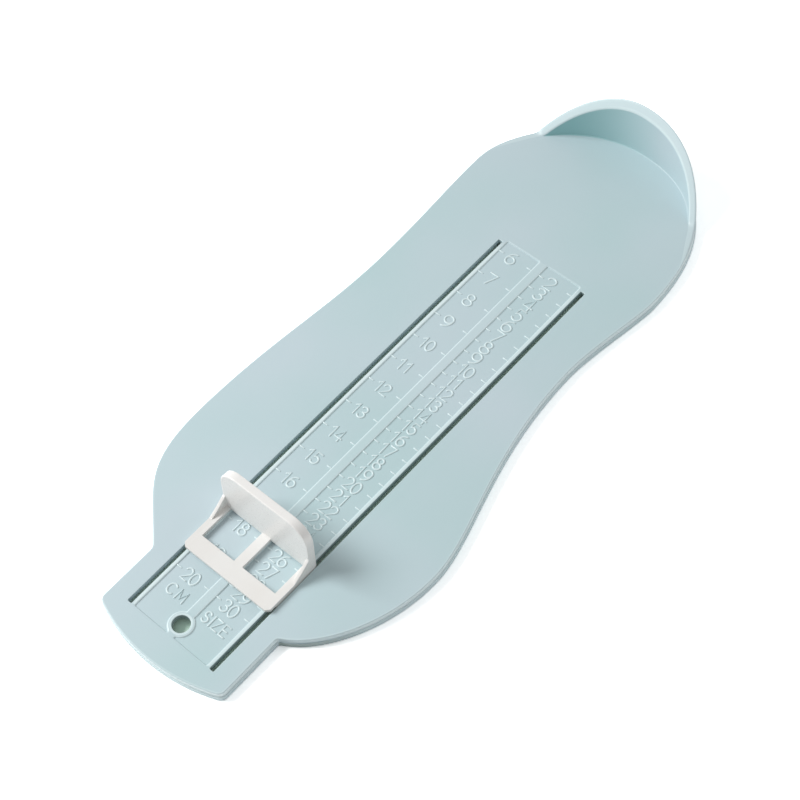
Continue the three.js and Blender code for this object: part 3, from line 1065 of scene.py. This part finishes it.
            # The cut's wall carries painted shade.
            cut.add(raised(loop, self.height - self.cut_top), shade)
            cut.add(raised(loop, ceiling + self.cut_foot), shade)
            cut.add(raised(offset_loop(loop, self.cut_foot), ceiling))
            under += cut.edges

        floor_z = self.height - self.panel_depth
        for side in Side:
            loop = self.pocket_loop(side)
            rings = self.cut_edge(
                loop, self.panel_round, self.panel_slope, self.panel_wall_pale)
            pocket = RingStack(mesh, *rings[0])
            over += pocket.edges
            pocket.add_all(rings[1:])
            for inward, rise, pale in self.panel_foot:
                pocket.add(raised(offset_loop(loop, -inward), floor_z + rise), pale)
            fill_flat(mesh, pocket.edges)

        fill_flat(mesh, over)
        fill_flat(mesh, under)
        self.mark_strips(mesh)
        piece = finish_piece("sole_board_body", mesh, material, Body.BOARD, 70.0)
        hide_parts("sole_board")
        return piece


def figure_strokes(symbol: str) -> list[Loop]:
    """Draws one figure or letter in plain round strokes.

    Each is drawn in a box one unit tall, from its lower left corner.

    Args:
        symbol: A figure, or one of the letters of CM and SIZE.

    Returns:
        The strokes, each an open line, or a closed one that ends where it starts.
    """
    def line(*points: tuple[float, float]) -> Loop:
        """Makes a stroke of straight steps."""
        return [Vector(point) for point in points]

    if symbol == "9":
        return [
            [Vector((0.64 - point.x, 1.0 - point.y)) for point in stroke]
            for stroke in figure_strokes("6")]
    strokes = {
        "0": [arc((0.32, 0.5), (0.31, 0.5), 90, 450, 26)],
        "1": [line((0.12, 0.76), (0.38, 1.0), (0.38, 0.0))],
        "2": [arc((0.31, 0.71), (0.29, 0.29), 165, -40, 14) + line((0.03, 0.0), (0.62, 0.0))],
        "3": [arc((0.3, 0.755), (0.26, 0.245), 155, -90, 14),
              arc((0.3, 0.265), (0.3, 0.265), 80, -155, 14)],
        "4": [line((0.48, 0.0), (0.48, 1.0), (0.0, 0.28), (0.66, 0.28))],
        "5": [line((0.56, 1.0), (0.13, 1.0), (0.08, 0.53))
              + arc((0.29, 0.32), (0.31, 0.32), 125, -150, 16)],
        "6": [arc((0.32, 0.31), (0.31, 0.31), 180, 540, 22),
              arc((0.6, 0.36), (0.59, 0.64), 180, 100, 10)],
        "7": [line((0.02, 1.0), (0.62, 1.0), (0.22, 0.0))],
        "8": [arc((0.32, 0.76), (0.24, 0.24), 90, 450, 20),
              arc((0.32, 0.265), (0.31, 0.265), 90, 450, 22)],
        "C": [arc((0.4, 0.5), (0.4, 0.5), 48, 312, 20)],
        "M": [line((0.0, 0.0), (0.06, 1.0), (0.4, 0.2), (0.74, 1.0), (0.8, 0.0))],
        "S": [arc((0.3, 0.75), (0.27, 0.25), 25, 265, 14)
              + arc((0.3, 0.26), (0.3, 0.26), 85, -155, 14)],
        "I": [line((0.05, 0.0), (0.05, 1.0))],
        "Z": [line((0.0, 1.0), (0.62, 1.0), (0.0, 0.0), (0.64, 0.0))],
        "E": [line((0.56, 1.0), (0.0, 1.0), (0.0, 0.0), (0.58, 0.0)),
              line((0.0, 0.52), (0.5, 0.52))],
    }
    return strokes[symbol]


# How far along the next figure or letter starts, where it isn't PLAIN_ADVANCE.
PLAIN_ADVANCE = 0.76
ADVANCE = {"1": 0.66, "I": 0.36, "M": 1.06, "C": 1.08, "E": 0.8, "S": 0.9, "Z": 0.92}


@dataclass
class ScaleMarks:
    """The raised numbers, words and ticks on the sunk panel."""

    # The two scales: the readings, their step along the sole, and where their figures stand.
    first_cm: int = 6
    last_cm: int = 20
    cm_step: float = 10.0
    cm_start_x: float = 10.9
    cm_lift: float = 0.3
    first_size: int = 2
    last_size: int = 30
    size_step: float = 5.0
    size_start_x: float = -4.4
    size_lift: float = 0.4

    # The figures and the headings, each with its start, height and width.
    figure_height: float = 3.9
    figure_width: float = 3.75
    single_height: float = 1.12
    single_width: float = 1.15
    single_shift: float = 0.3
    headings: tuple[tuple[str, float, float, float], ...] = (
        ("CM", 11.2, 3.3, 3.5), ("SIZE", -2.9, 3.4, 3.2))
    heading_y: float = 206.2

    # The ridges that draw them, and the painted highlight on them.
    floor_z: float = 3.6
    stroke: float = 0.66
    tip: tuple[tuple[float, float], ...] = ((0.7, 0.72), (0.97, 0.25))
    flatten: float = 0.85
    paleness: float = 0.75

    # The ticks at the panel's sides and at its middle bar.
    tick_width: float = 0.5
    panel_half_width: float = 14.25
    bar_half_width: float = 1.5
    rail_tick: float = 1.8
    bar_tick: float = 1.6

    def text(
        self, words: str, start_x: float, middle_y: float, height: float, width: float
    ) -> list[Loop]:
        """Lays out a line of figures or letters.

        Args:
            words: What it says.
            start_x: Where its first stroke starts, in gauge millimetres.
            middle_y: Where its middle line lies.
            height: The height of a figure.
            width: The width of a box one unit wide.

        Returns:
            Strokes in gauge millimetres.
        """
        placed: list[Loop] = []
        along = 0.0
        for symbol in words:
            for stroke in figure_strokes(symbol):
                placed.append([
                    Vector((start_x - (along + point.x) * width,
                            middle_y - (point.y - 0.5) * height))
                    for point in stroke])
            along += ADVANCE.get(symbol, PLAIN_ADVANCE)
        return placed

    def number(self, value: int, start_x: float, y: float) -> list[Loop]:
        """Lays out one number of a scale, with a lone figure a little larger.

        Args:
            value: The number.
            start_x: Where its first figure starts.
            y: Where its middle line lies.

        Returns:
            Strokes in gauge millimetres.
        """
        height, width = self.figure_height, self.figure_width
        if value < 10:
            height *= self.single_height
            width *= self.single_height * self.single_width
            start_x -= self.single_shift
        return self.text(str(value), start_x, y, height, width)

    def tick(self, x: float, length: float, y: float) -> Loop:
        """Makes one tick across the scale."""
        return [Vector((x, y)), Vector((x + length, y))]

    def curve(self, name: str, strokes: list[Loop], width: float) -> bpy.types.Object:
        """Makes round ridges along strokes.

        Args:
            name: The curve's name.
            strokes: Open or closed lines in gauge millimetres.
            width: The ridges' width.

        Returns:
            A curve object, half sunk in the panel's floor.
        """
        data = bpy.data.curves.new(name, "CURVE")
        data.dimensions = "3D"
        data.bevel_depth = width / 2
        data.bevel_resolution = 2
        data.use_fill_caps = True
        for stroke in strokes:
            closed = (stroke[0] - stroke[-1]).length < 1e-6
            body = stroke[:-1] if closed else stroke
            spline = data.splines.new("POLY")
            spline.use_cyclic_u = closed
            shape = [(point, 1.0) for point in body]
            if not closed:
                # Two short steps at each end draw the ridge in to a round tip.
                head = (body[0] - body[1]).normalized() * (width / 2)
                tail = (body[-1] - body[-2]).normalized() * (width / 2)
                for reach, radius in self.tip:
                    shape.insert(0, (body[0] + head * reach, radius))
                    shape.append((body[-1] + tail * reach, radius))
            spline.points.add(len(shape) - 1)
            for target, (point, radius) in zip(spline.points, shape):
                target.co = (point.x, point.y, self.floor_z, 1.0)
                target.radius = radius
        return place_object(name, data)

    def build(self, material: bpy.types.Material) -> bpy.types.Object:
        """Builds every mark as one piece.

        Args:
            material: The board's plastic.

        Returns:
            The finished piece.
        """
        figures: list[Loop] = []
        ticks: list[Loop] = []
        wall, bar = self.panel_half_width, self.bar_half_width
        for reading in range(self.first_cm, self.last_cm + 1):
            y = self.cm_step * reading
            figures += self.number(reading, self.cm_start_x, y + self.cm_lift)
            ticks += [self.tick(wall, -self.rail_tick, y), self.tick(bar, self.bar_tick, y)]
        for size in range(self.first_size, self.last_size + 1):
            y = self.cm_step * self.first_cm + self.size_step * (size - self.first_size)
            figures += self.number(size, self.size_start_x, y + self.size_lift)
            ticks += [self.tick(-bar, -self.bar_tick, y), self.tick(-wall, self.rail_tick, y)]
        for words, start_x, height, width in self.headings:
            figures += self.text(words, start_x, self.heading_y, height, width)
        mesh = new_mesh()
        for name, strokes, width in (
                ("figure_strokes", figures, self.stroke), ("tick_strokes", ticks, self.tick_width)):
            curve = self.curve(name, strokes, width)
            data = bpy.data.meshes.new_from_object(
                curve.evaluated_get(bpy.context.evaluated_depsgraph_get()))
            mesh.from_mesh(data)
            bpy.data.objects.remove(curve)
            bpy.data.meshes.remove(data)
        layer = mesh.verts.layers.float[PAINTED_LIGHT]
        for vert in mesh.verts:
            vert.co.z = self.floor_z + (vert.co.z - self.floor_z) * self.flatten
            # Every stroke carries painted highlight.
            vert[layer] = self.paleness
        return finish_piece("scale_marks", mesh, material, Body.BOARD, 60.0)


def prism_along_x(profile: Sequence[tuple[float, float]], x0: float, x1: float) -> bmesh.types.BMesh:
    """Extrudes a side profile across the gauge.

    Args:
        profile: (y, z) points in order.
        x0: Where the prism starts.
        x1: Where it ends. That face lies exactly there, so it can be level with another one.

    Returns:
        A closed mesh.
    """
    return prism([Vector((x1, y, z)) for y, z in profile], Vector((x0 - x1, 0.0, 0.0)))


def prism(points: Sequence[Vector], along: Vector) -> bmesh.types.BMesh:
    """Extrudes a flat face into a closed solid.

    Args:
        points: The face's corners in order.
        along: How far and which way it is extruded.

    Returns:
        A closed mesh with its faces pointing out.
    """
    mesh = bmesh.new()
    face = mesh.faces.new([mesh.verts.new(point) for point in points])
    grown = bmesh.ops.extrude_face_region(mesh, geom=[face])["geom"]
    verts = [item for item in grown if isinstance(item, bmesh.types.BMVert)]
    bmesh.ops.translate(mesh, verts=verts, vec=along)
    bmesh.ops.recalc_face_normals(mesh, faces=mesh.faces[:])
    return mesh


class Joinery:
    """Joins and cuts closed meshes with exact booleans."""

    def __init__(
        self, mesh: bmesh.types.BMesh, weld: float = 0.02, level_degrees: float = 0.4
    ) -> None:
        """Starts from one solid.

        Args:
            mesh: The solid, which is freed.
            weld: The distance within which the result's corners are merged.
            level_degrees: The angle below which two of the result's faces count as level.
        """
        self.work = self.as_object("joinery", mesh)
        self.weld = weld
        self.level_degrees = level_degrees

    @staticmethod
    def as_object(name: str, mesh: bmesh.types.BMesh) -> bpy.types.Object:
        """Puts a mesh into the scene for a boolean.

        Args:
            name: The object's name.
            mesh: The mesh, which is freed.

        Returns:
            The new object.
        """
        data = bpy.data.meshes.new(name)
        mesh.to_mesh(data)
        mesh.free()
        return place_object(name, data)

    def apply(self, mesh: bmesh.types.BMesh, operation: str) -> None:
        """Joins or cuts with one more solid.

        Args:
            mesh: The other solid, which is freed.
            operation: UNION or DIFFERENCE.
        """
        other = self.as_object("joinery_other", mesh)
        modifier = self.work.modifiers.new("join", "BOOLEAN")
        modifier.operation = operation
        modifier.solver = "EXACT"
        modifier.object = other
        graph = bpy.context.evaluated_depsgraph_get()
        data = bpy.data.meshes.new_from_object(self.work.evaluated_get(graph))
        self.work.modifiers.clear()
        old = self.work.data
        self.work.data = data
        bpy.data.meshes.remove(old)
        bpy.data.objects.remove(other)

    def result(self) -> bmesh.types.BMesh:
        """Takes the finished solid out of the scene.

        Returns:
            A mesh whose level faces have lost their needless edges.
        """
        mesh = bmesh.new()
        mesh.from_mesh(self.work.data)
        bpy.data.objects.remove(self.work)
        bmesh.ops.remove_doubles(mesh, verts=mesh.verts[:], dist=self.weld)
        bmesh.ops.dissolve_limit(
            mesh, angle_limit=math.radians(self.level_degrees), use_dissolve_boundaries=False,
            verts=mesh.verts[:], edges=mesh.edges[:])
        return mesh


@dataclass
class ToeSlider:
    """The slider: window frame, toe wall, gussets, and the legs and hooks under the board."""

    # The frame. At rest, the wall's face for the toes stands at this reading on the scale.
    reading: float = 175.5
    base_z: float = 4.3
    half_width: float = 16.65
    frame: float = 1.2
    length: float = 19.6
    corner_cut: float = 1.1
    crossbar: float = 5.5
    rail: float = 2.4
    divider: float = 3.2
    overcut: float = 1.0

    # The toe wall and its gussets. Each gusset's root and foot go into the wall and the frame.
    wall_height: float = 18.6
    wall: float = 2.7
    wall_corner: float = 6.6
    corner_steps: int = 14
    wall_lean: float = 4.0
    gusset_height: float = 4.6
    gusset_length: float = 6.4
    gusset: float = 1.0
    gusset_hollow: float = 0.42
    gusset_spacing: float = 0.5
    gusset_root: float = 1.0
    gusset_sink: float = 0.4
    gusset_drop: float = 0.3

    # The legs in the slots, and their hooks under the plate.
    plate_underside: float = 2.0
    gap: float = 0.3
    leg_setback: float = 0.4
    leg_length: float = 16.0
    leg: float = 1.0
    hook_length: float = 4.0
    hook_reach: float = 0.5
    hook_height: float = 1.2
    hook_tip: float = 0.4
    hook_root: float = 0.3

    # The rounds, which edges get them, and the painted light on the toe wall.
    wall_round: float = 0.9
    wall_round_steps: int = 6
    soft_edge: float = 0.3
    soft_edge_steps: int = 3
    sharp_turn: float = 28.0
    wall_front: float = 0.6
    upright: float = 0.5
    clear: float = 0.05
    wall_glow: float = 0.6
    glow_reach: float = 0.4

    def back_at(self, height: float) -> float:
        """Finds where the leaning wall's back stands, which faces the windows.

        Args:
            height: The height above the table.

        Returns:
            The back's y at that height.
        """
        lean = math.radians(self.wall_lean)
        return (self.reading + self.wall / math.cos(lean)
                - (height - self.base_z) * math.tan(lean))

    def plate_solid(self) -> bmesh.types.BMesh:
        """Makes the frame's plate, before its windows are cut.

        Returns:
            A closed mesh.
        """
        w, y0, y1, cut = self.half_width, self.reading, self.reading + self.length, self.corner_cut
        corners = [(-w, y0), (w, y0), (w, y1 - cut), (w - cut, y1), (cut - w, y1), (-w, y1 - cut)]
        return prism([Vector((x, y, self.base_z)) for x, y in corners],
                     Vector((0.0, 0.0, self.frame)))

    def window_solid(self, side: Side) -> bmesh.types.BMesh:
        """Makes the block that one window takes out of the plate.

        Args:
            side: Which window.

        Returns:
            A closed mesh, a little taller than the plate.
        """
        x0 = side.value * self.divider / 2
        x1 = side.value * (self.half_width - self.rail)
        y0 = self.back_at(self.base_z + self.frame)
        y1 = self.reading + self.length - self.crossbar
        corners = [(x0, y0), (x1, y0), (x1, y1), (x0, y1)]
        return prism([Vector((x, y, self.base_z - self.overcut)) for x, y in corners],
                     Vector((0.0, 0.0, self.frame + 2 * self.overcut)))

    def wall_solid(self) -> bmesh.types.BMesh:
        """Makes the leaning toe wall, square-edged, with its foot inside the plate.

        Returns:
            A closed mesh.
        """
        w, r, h = self.half_width, self.wall_corner, self.wall_height
        face = [Vector((-w, 0.0)), Vector((w, 0.0))]
        face += arc((w - r, h - r), (r, r), 0, 90, self.corner_steps)
        face += arc((r - w, h - r), (r, r), 90, 180, self.corner_steps)
        mesh = prism([Vector((p.x, 0.0, p.y)) for p in face], Vector((0.0, self.wall, 0.0)))
        lean = Matrix.Rotation(math.radians(self.wall_lean), 4, "X")
        place = Matrix.Translation((0.0, self.reading, self.base_z)) @ lean
        bmesh.ops.transform(mesh, matrix=place, verts=mesh.verts[:])
        return mesh

    def gusset_solid(self, side: Side) -> bmesh.types.BMesh:
        """Makes the thin, slightly hollow brace between a side rail and the wall.

        Args:
            side: Which rail.

        Returns:
            A closed mesh.
        """
        foot = self.base_z + self.frame
        head = foot + self.gusset_height
        back, up = self.back_at(foot), self.back_at(head)
        hollow = self.gusset_hollow
        curve = smooth_curve(
            [(back + self.gusset_length, foot),
             (back + self.gusset_length * hollow, foot + self.gusset_height * hollow),
             (up, head)], self.gusset_spacing)
        root, low = self.gusset_root, foot - self.gusset_sink
        profile = [(back - root, low), (back + self.gusset_length, low)]
        profile += [(point.x, point.y) for point in curve]
        profile += [(up, head), (up - root, head - self.gusset_drop)]
        x0 = side.value * (self.half_width - self.gusset)
        return prism_along_x(profile, x0, side.value * self.half_width)

    def leg_solid(self, side: Side) -> bmesh.types.BMesh:
        """Makes the thin leg that runs in a slot.

        Args:
            side: Which slot.

        Returns:
            A closed mesh.
        """
        low = self.plate_underside - self.gap - self.hook_height
        y0 = self.reading + self.leg_setback
        y1 = y0 + self.leg_length
        high = self.base_z + self.frame / 2
        x0 = side.value * (self.half_width - self.leg)
        return prism_along_x(
            [(y0, low), (y1, low), (y1, high), (y0, high)], x0, side.value * self.half_width)

    def hook_solid(self, side: Side, start_y: float) -> bmesh.types.BMesh:
        """Makes one snap hook, flat on top and slanted below.

        Args:
            side: Which leg carries it.
            start_y: Where it starts along the leg.

        Returns:
            A closed mesh.
        """
        top = self.plate_underside - self.gap
        low = top - self.hook_height
        w, s = self.half_width, side.value
        root, tip = w - self.hook_root, w + self.hook_reach
        profile = [(root, low), (w, low), (tip, top - self.hook_tip), (tip, top), (root, top)]
        return prism([Vector((s * x, start_y, z)) for x, z in profile],
                     Vector((0.0, self.hook_length, 0.0)))

    def soften(self, mesh: bmesh.types.BMesh) -> None:
        """Rounds the toe wall's free edges well and the frame's upper edges a little.

        Args:
            mesh: The slider in one solid.
        """
        gusset_top = self.base_z + self.frame + self.gusset_height

        def bevel(edges: list[bmesh.types.BMEdge], offset: float, segments: int) -> None:
            """Rounds some edges.

            Args:
                edges: The edges.
                offset: How far in the round starts on each side.
                segments: How many flat steps the round has.
            """
            bmesh.ops.bevel(
                mesh, geom=edges, offset=offset, offset_type="OFFSET", segments=segments,
                profile=0.5, affect="EDGES", material=-1, clamp_overlap=True)

        def sharp(edge: bmesh.types.BMEdge) -> bool:
            """Tells whether an edge turns by more than a round's own steps."""
            return edge.is_manifold and edge.calc_face_angle(0.0) > math.radians(self.sharp_turn)

        def on_wall(edge: bmesh.types.BMEdge) -> bool:
            """Tells whether an edge is one of the wall's free edges.

            Args:
                edge: An edge of the slider.

            Returns:
                True for the edges above the gussets and the upright ones of the wall's face.
            """
            ends = [vert.co for vert in edge.verts]
            if all(end.z > gusset_top - self.clear for end in ends):
                return True
            return (all(abs(end.x) > self.half_width - NEAR and end.z > self.base_z - NEAR
                        and end.y < self.reading + self.wall_front for end in ends)
                    and abs(ends[0].z - ends[1].z) > self.upright)

        bevel([edge for edge in mesh.edges if sharp(edge) and on_wall(edge)],
              self.wall_round, self.wall_round_steps)
        low = self.base_z + self.clear
        bevel([edge for edge in mesh.edges
               if sharp(edge) and max(vert.co.z for vert in edge.verts) > low],
              self.soft_edge, self.soft_edge_steps)

    def mark_wall(self, mesh: bmesh.types.BMesh) -> None:
        """Paints light on the toe wall, so it looks paler than the rest of the slider.

        Args:
            mesh: The slider in one solid.
        """
        layer = mesh.verts.layers.float.new(PAINTED_LIGHT)
        for vert in mesh.verts:
            _, y, z = vert.co
            if z > self.base_z - NEAR and y < self.back_at(z) + self.glow_reach:
                vert[layer] = self.wall_glow

    def build(self, material: bpy.types.Material) -> bpy.types.Object:
        """Builds the slider as one closed mesh.

        Args:
            material: The slider's plastic.

        Returns:
            The finished piece.
        """
        whole = Joinery(self.wall_solid())
        for side in Side:
            whole.apply(self.gusset_solid(side), "UNION")
        whole.apply(self.plate_solid(), "UNION")
        first = self.reading + self.leg_setback
        for side in Side:
            whole.apply(self.window_solid(side), "DIFFERENCE")
            whole.apply(self.leg_solid(side), "UNION")
            for start in (first, first + self.leg_length - self.hook_length):
                whole.apply(self.hook_solid(side, start), "UNION")
        mesh = whole.result()
        self.soften(mesh)
        self.mark_wall(mesh)
        piece = finish_piece(
            "toe_slider_body", mesh, material, Body.SLIDER, 50.0)
        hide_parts("toe_slider")
        return piece


@dataclass(frozen=True)
class Studio:
    """A plain pale floor, two soft lamps, an even sky and the camera."""

    camera_at: tuple[float, float, float] = (0.209274, -0.194306, 0.436426)
    camera_right: tuple[float, float, float] = (0.745842, 0.661779, -0.075949)
    camera_up: tuple[float, float, float] = (-0.527221, 0.656155, 0.539907)
    camera_back: tuple[float, float, float] = (0.407133, -0.362643, 0.838291)
    lens_mm: float = 79.50
    lamp_from: tuple[float, float, float] = (-0.66, -0.34, 0.67)
    lamp_distance: float = 1.0
    lamp_size: float = 0.46
    lamp_watts: float = 8.3
    fill_from: tuple[float, float, float] = (0.62, 0.72, 0.3)
    fill_size: float = 0.9
    fill_watts: float = 2.0
    sky_strength: float = 0.4
    floor_colour: str = "f4f4f4"
    floor_gain: float = 2.3
    # The colour of the painted shade under the board.
    cover_colour: str = "9fb3a7"
    cover_gain: float = 3.3
    cover_x: tuple[float, float] = (-20.0, 20.0)
    cover_y: tuple[float, float] = (48.0, 220.0)
    floor_half_width: float = 3000.0
    sensor_mm: float = 36.0
    clip: tuple[float, float] = (0.01, 20.0)

    def floor_material(self, name: str, colour: str, gain: float) -> bpy.types.Material:
        """Makes a matt floor material: no gloss and one even tone.

        Args:
            name: The material's name.
            colour: Its colour, as six hex digits.
            gain: How much brighter than life the eye sees it, in a mirror too.

        Returns:
            The new material.
        """
        material = bpy.data.materials.new(name)
        material.use_nodes = True
        tree = material.node_tree
        tree.nodes.clear()
        rays = add_node(tree, "ShaderNodeLightPath").outputs
        looked_at = rays["Is Camera Ray"]
        for kind in ("Is Glossy Ray", "Is Transmission Ray"):
            looked_at = add_node(
                tree, "ShaderNodeMath", {"operation": "MAXIMUM"},
                {0: looked_at, 1: rays[kind]}).outputs[0]
        plain = linear_colour(colour)
        bright = tuple(gain * channel for channel in plain[:3]) + (1.0,)
        seen = add_node(
            tree, "ShaderNodeMix", {"data_type": "RGBA", MIX_FROM: plain, MIX_TO: bright},
            {MIX_FACTOR: looked_at})
        matt = add_node(
            tree, "ShaderNodeBsdfDiffuse", None, {"Color": seen.outputs[MIX_RESULT]})
        add_node(tree, "ShaderNodeOutputMaterial", None, {"Surface": matt.outputs["BSDF"]})
        return material

    def floor(self) -> None:
        """Lays a matt white floor that keeps the object's shadow, with a patch of painted shade
        under the board.
        """
        mesh = bmesh.new()
        outer = [mesh.verts.new((x * self.floor_half_width, y * self.floor_half_width, 0.0))
                 for x, y in ((-1, -1), (1, -1), (1, 1), (-1, 1))]
        edges = [mesh.edges.new((vert, outer[i - 1])) for i, vert in enumerate(outer)]
        inner = [mesh.verts.new((self.cover_x[x], self.cover_y[y], 0.0))
                 for x, y in ((0, 0), (1, 0), (1, 1), (0, 1))]
        ring = [mesh.edges.new((vert, inner[i - 1])) for i, vert in enumerate(inner)]
        fill_flat(mesh, edges + ring)
        lit = set(mesh.faces)
        fill_flat(mesh, ring)
        for face in mesh.faces:
            face.material_index = 0 if face in lit else 1
        bmesh.ops.transform(mesh, matrix=GaugeAxes().to_row(), verts=mesh.verts[:])
        data = bpy.data.meshes.new("studio_floor")
        mesh.to_mesh(data)
        mesh.free()
        floor = place_object("studio_floor", data)
        # Under the board the floor is a darker grey-green: painted shade, which the slots and the
        # hole look down on.
        data.materials.append(
            self.floor_material("paint_matt_white", self.floor_colour, self.floor_gain))
        data.materials.append(
            self.floor_material("painted_shade_under_board", self.cover_colour, self.cover_gain))

    def lights(self) -> None:
        """Hangs the key lamp and a weaker fill lamp across from it, and sets the sky."""
        for name, place, size, watts in (
                ("key_lamp", self.lamp_from, self.lamp_size, self.lamp_watts),
                ("fill_lamp", self.fill_from, self.fill_size, self.fill_watts)):
            towards = Vector(place).normalized()
            data = bpy.data.lights.new(name, "AREA")
            data.shape = "SQUARE"
            data.size = size
            data.energy = watts
            lamp = place_object(name, data)
            lamp.matrix_world = (
                Matrix.Translation(towards * self.lamp_distance)
                @ towards.to_track_quat("Z", "Y").to_matrix().to_4x4())
        world = bpy.data.worlds.new("even_sky")
        world.use_nodes = True
        tree = world.node_tree
        tree.nodes.clear()
        sky = add_node(
            tree, "ShaderNodeBackground",
            {"Color": (1.0, 1.0, 1.0, 1.0), "Strength": self.sky_strength})
        add_node(tree, "ShaderNodeOutputWorld", None, {"Surface": sky.outputs["Background"]})
        bpy.context.scene.world = world

    def camera(self) -> None:
        """Sets the camera where the photograph was taken from."""
        data = bpy.data.cameras.new("photo_camera")
        data.sensor_width = self.sensor_mm
        data.lens = self.lens_mm
        data.clip_start, data.clip_end = self.clip
        camera = place_object("photo_camera", data)
        axes = Matrix((self.camera_right, self.camera_up, self.camera_back)).transposed()
        camera.matrix_world = Matrix.Translation(self.camera_at) @ axes.to_4x4()
        bpy.context.scene.camera = camera

    def build(self) -> None:
        """Builds the whole studio."""
        self.floor()
        self.lights()
        self.camera()
        bpy.context.scene.view_settings.view_transform = "Standard"


def main() -> None:
    """Builds the gauge and its studio in order."""
    logging.basicConfig(level=logging.INFO, format="%(name)s: %(message)s")
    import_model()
    Studio().build()
    board_plastic = BOARD_PLASTIC.material()
    SoleBoard().build(board_plastic)
    ScaleMarks().build(board_plastic)
    ToeSlider().build(SLIDER_PLASTIC.material())


if __name__ == "__main__":
    main()
